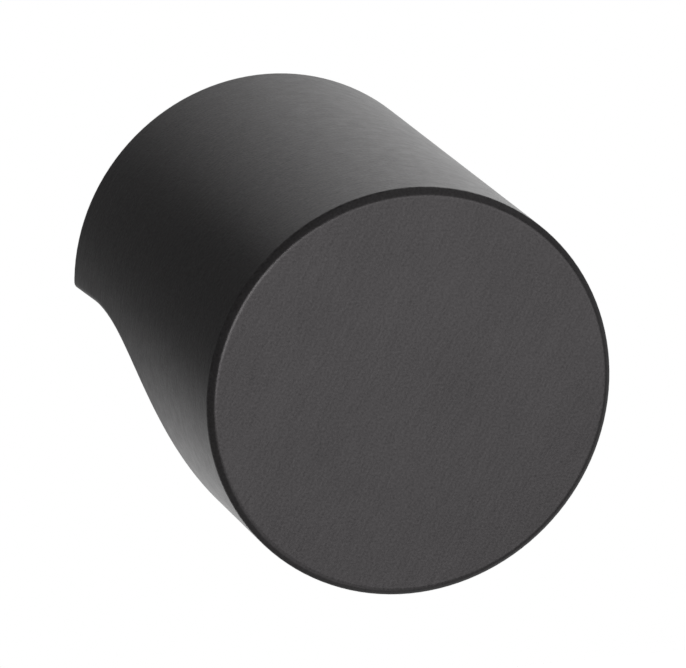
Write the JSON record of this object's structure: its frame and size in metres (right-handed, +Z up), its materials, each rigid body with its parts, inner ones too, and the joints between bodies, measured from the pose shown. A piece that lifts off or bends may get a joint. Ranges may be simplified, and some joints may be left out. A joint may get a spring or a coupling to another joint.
{
  "type": "cabinet knob",
  "caption": "Round bar knob for a door or drawer, with a flat chamfered front, a finger scoop milled across its underside and a tapped screw hole in its back.",
  "frame": {"origin": "centre of the screw hole's mouth, in the back face that sits on the door", "axes": "+Y out of the back face towards the door, +X to the right seen from the front, +Z up, with the finger scoop underneath"},
  "size_m": [0.02, 0.024, 0.02],
  "materials": {
    "black_brushed_metal": "brushed, then finished satin black"
  },
  "bodies": {
    "root": {"knob": "black_brushed_metal"}
  },
  "joints": []
}
